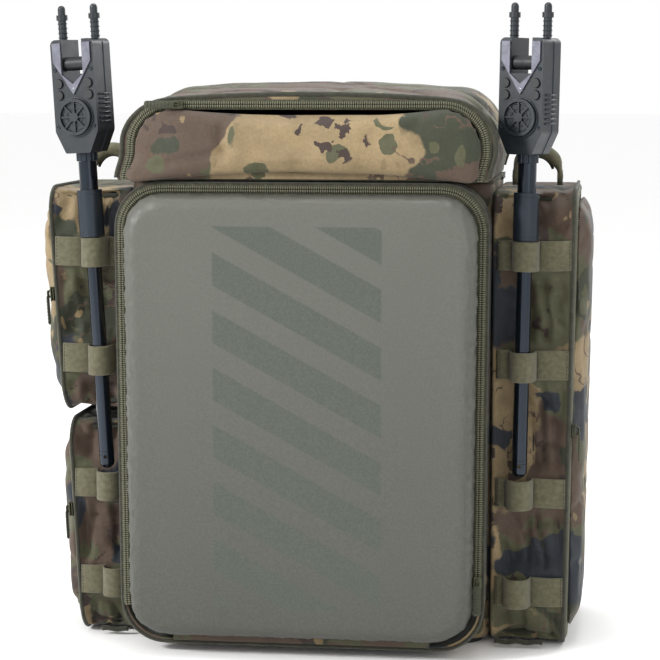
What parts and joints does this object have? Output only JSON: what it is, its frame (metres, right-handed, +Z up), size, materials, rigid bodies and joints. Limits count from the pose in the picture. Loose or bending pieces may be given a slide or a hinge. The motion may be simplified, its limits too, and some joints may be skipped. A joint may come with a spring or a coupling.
{
  "type": "tackle backpack",
  "caption": "Camouflage tackle backpack with a moulded front door, zipped lid and side pockets, and bank sticks with bite alarms held in webbing loops.",
  "frame": {"origin": "on the floor under the middle of the base panel", "axes": "+X to the right seen from the front, front faces -Y, +Z up"},
  "size_m": [0.4893, 0.3424, 0.5623],
  "materials": {
    "camo_fabric": "coated camouflage polyester",
    "olive_fabric": "padded mesh and binding",
    "door_shell": "satin coated moulded foam",
    "webbing": "woven webbing",
    "zip_tape": "woven tape with a nylon coil",
    "zip_metal": "painted zip slider",
    "base_rubber": "moulded base",
    "board": "polyethylene stiffener",
    "hardware": "moulded buckle plastic",
    "stick_metal": "anodised gloss",
    "collar": "satin slate",
    "alarm_plastic": "satin black-blue",
    "fascia": "silver",
    "keys": "silicone"
  },
  "bodies": {
    "pack": {"main_body": "camo_fabric", "base_panel": "base_rubber", "frame_sheet": "board", "front_pocket": "camo_fabric", "right_pocket": "camo_fabric", "left_upper_pocket": "camo_fabric", "left_lower_pocket": "camo_fabric", "back_panel": "olive_fabric", "shoulder_strap_left": "olive_fabric", "shoulder_strap_right": "olive_fabric", "strap_webbing": "webbing", "ladder_locks": "hardware", "chest_strap_left": "webbing", "chest_buckle_socket": "hardware", "left_webbing": "webbing", "right_webbing": "webbing", "main_zip_tape": "zip_tape", "front_zip_tape": "zip_tape", "side_zip_tapes": "zip_tape"},
    "chest_plug": {"chest_buckle_plug": "hardware", "chest_strap_right": "webbing"},
    "door": {"front_door": "door_shell", "front_door_zip": "zip_tape"},
    "door_slider": {"front_slider": "zip_metal"},
    "lid": {"lid_base": "camo_fabric", "lid_pocket": "camo_fabric", "lid_zip_tapes": "zip_tape"},
    "flap": {"lid_flap": "camo_fabric", "lid_flap_zip": "zip_tape"},
    "flap_slider": {"lid_slider": "zip_metal"},
    "mouth_slider": {"main_slider": "zip_metal"},
    "right_panel": {"right_door": "camo_fabric"},
    "left_upper_panel": {"left_upper_door": "camo_fabric"},
    "left_lower_panel": {"left_lower_door": "camo_fabric"},
    "right_panel_slider": {"right_slider": "zip_metal"},
    "left_upper_panel_slider": {"left_upper_slider": "zip_metal"},
    "left_lower_panel_slider": {"left_lower_slider": "zip_metal"},
    "haul_loop": {"haul_handle": "webbing"},
    "left_grip": {"side_handle_left": "webbing"},
    "right_grip": {"side_handle_right": "webbing"},
    "left_stick": {"left_stick_tube": "stick_metal", "left_alarm_case": "alarm_plastic", "left_alarm_fascia": "fascia", "left_alarm_ears": "alarm_plastic", "left_alarm_speaker": "alarm_plastic"},
    "left_collar": {"left_stick_collar": "collar"},
    "left_rod": {"left_stick_rod": "stick_metal"},
    "left_roller": {"left_alarm_roller": "alarm_plastic"},
    "left_keys": {"left_alarm_keypad": "keys"},
    "left_nut": {"left_alarm_nut": "collar"},
    "right_stick": {"right_stick_tube": "stick_metal", "right_alarm_case": "alarm_plastic", "right_alarm_fascia": "fascia", "right_alarm_ears": "alarm_plastic", "right_alarm_speaker": "alarm_plastic"},
    "right_collar": {"right_stick_collar": "collar"},
    "right_rod": {"right_stick_rod": "stick_metal"},
    "right_roller": {"right_alarm_roller": "alarm_plastic"},
    "right_keys": {"right_alarm_keypad": "keys"},
    "right_nut": {"right_alarm_nut": "collar"}
  },
  "joints": [
    {"name": "front_door_fold", "type": "hinge", "parent": "pack", "child": "door", "pos_m": [0, -0.1263, 0.032], "axis": [1, 0, 0], "range_deg": [0, 84]},
    {"name": "front_zip_slide", "type": "slide", "parent": "door", "child": "door_slider", "axis": [0.0075, 0, 1], "range_m": [0, 0.285]},
    {"name": "lid_fold", "type": "hinge", "parent": "pack", "child": "lid", "pos_m": [0, 0.1185, 0.4102], "axis": [-1, 0, 0], "range_deg": [0, 95]},
    {"name": "lid_flap_fold", "type": "hinge", "parent": "lid", "child": "flap", "pos_m": [0, -0.129, 0.4148], "axis": [1, 0, 0], "range_deg": [0, 100]},
    {"name": "lid_zip_slide", "type": "slide", "parent": "flap", "child": "flap_slider", "axis": [1, 0, 0], "range_m": [0, 0.205]},
    {"name": "main_zip_slide", "type": "slide", "parent": "lid", "child": "mouth_slider", "axis": [0, -1, 0], "range_m": [0, 0.14]},
    {"name": "right_door_fold", "type": "hinge", "parent": "pack", "child": "right_panel", "pos_m": [0.2295, 0.094, 0.20248], "axis": [0.015, 0, 0.9999], "range_deg": [0, 100]},
    {"name": "left_upper_door_fold", "type": "hinge", "parent": "pack", "child": "left_upper_panel", "pos_m": [-0.2275, 0.094, 0.30266], "axis": [0.0603, 0, -0.9982], "range_deg": [0, 100]},
    {"name": "left_lower_door_fold", "type": "hinge", "parent": "pack", "child": "left_lower_panel", "pos_m": [-0.2125, 0.094, 0.09867], "axis": [0.0521, 0, -0.9986], "range_deg": [0, 100]},
    {"name": "right_zip_slide", "type": "slide", "parent": "right_panel", "child": "right_panel_slider", "axis": [0.015, 0, 0.9999], "range_m": [-0.14, 0.17]},
    {"name": "left_upper_zip_slide", "type": "slide", "parent": "left_upper_panel", "child": "left_upper_panel_slider", "axis": [-0.0603, 0, 0.9982], "range_m": [-0.06, 0.055]},
    {"name": "left_lower_zip_slide", "type": "slide", "parent": "left_lower_panel", "child": "left_lower_panel_slider", "axis": [-0.0521, 0, 0.9986], "range_m": [-0.055, 0.04]},
    {"name": "chest_buckle_slide", "type": "slide", "parent": "pack", "child": "chest_plug", "axis": [1, 0, 0], "range_m": [0, 0.019]},
    {"name": "haul_handle_swing", "type": "hinge", "parent": "pack", "child": "haul_loop", "pos_m": [0, 0.13983, 0.382], "axis": [1, 0, 0], "range_deg": [0, 62]},
    {"name": "left_grip_swing", "type": "hinge", "parent": "pack", "child": "left_grip", "pos_m": [-0.195, 0.02, 0.4093], "axis": [1, 0, 0], "range_deg": [-80, 80]},
    {"name": "left_stick_lift", "type": "slide", "parent": "pack", "child": "left_stick", "axis": [-0.055, 0, 0.9985], "range_m": [0, 0.24]},
    {"name": "left_rod_telescope", "type": "slide", "parent": "left_stick", "child": "left_rod", "axis": [0.055, 0, -0.9985], "range_m": [0, 0.035]},
    {"name": "left_collar_turn", "type": "hinge", "parent": "left_stick", "child": "left_collar", "pos_m": [-0.1911, -0.0863, 0.37997], "axis": [-0.055, 0, 0.9985], "continuous": true},
    {"name": "left_nut_turn", "type": "hinge", "parent": "left_stick", "child": "left_nut", "pos_m": [-0.19385, -0.0863, 0.42989], "axis": [-0.055, 0, 0.9985], "continuous": true},
    {"name": "left_roller_spin", "type": "hinge", "parent": "left_stick", "child": "left_roller", "pos_m": [-0.20022, -0.09303, 0.51067], "axis": [0.9598, -0.2756, 0.0528], "continuous": true},
    {"name": "left_keys_press", "type": "slide", "parent": "left_stick", "child": "left_keys", "axis": [0.2752, 0.9613, 0.0151], "range_m": [0, 0.0006], "stiffness_N_per_m": 900},
    {"name": "right_grip_swing", "type": "hinge", "parent": "pack", "child": "right_grip", "pos_m": [0.195, 0.02, 0.4093], "axis": [1, 0, 0], "range_deg": [-80, 80]},
    {"name": "right_stick_lift", "type": "slide", "parent": "pack", "child": "right_stick", "axis": [0.0166, 0, 0.9999], "range_m": [0, 0.24]},
    {"name": "right_rod_telescope", "type": "slide", "parent": "right_stick", "child": "right_rod", "axis": [-0.0166, 0, -0.9999], "range_m": [0, 0.035]},
    {"name": "right_collar_turn", "type": "hinge", "parent": "right_stick", "child": "right_collar", "pos_m": [0.18933, -0.0863, 0.38], "axis": [0.0166, 0, 0.9999], "continuous": true},
    {"name": "right_nut_turn", "type": "hinge", "parent": "right_stick", "child": "right_nut", "pos_m": [0.19016, -0.0863, 0.42999], "axis": [0.0166, 0, 0.9999], "continuous": true},
    {"name": "right_roller_spin", "type": "hinge", "parent": "right_stick", "child": "right_roller", "pos_m": [0.18833, -0.09254, 0.51103], "axis": [0.8909, -0.454, -0.0148], "continuous": true},
    {"name": "right_keys_press", "type": "slide", "parent": "right_stick", "child": "right_keys", "axis": [0.4539, 0.891, -0.0075], "range_m": [0, 0.0006], "stiffness_N_per_m": 900}
  ]
}
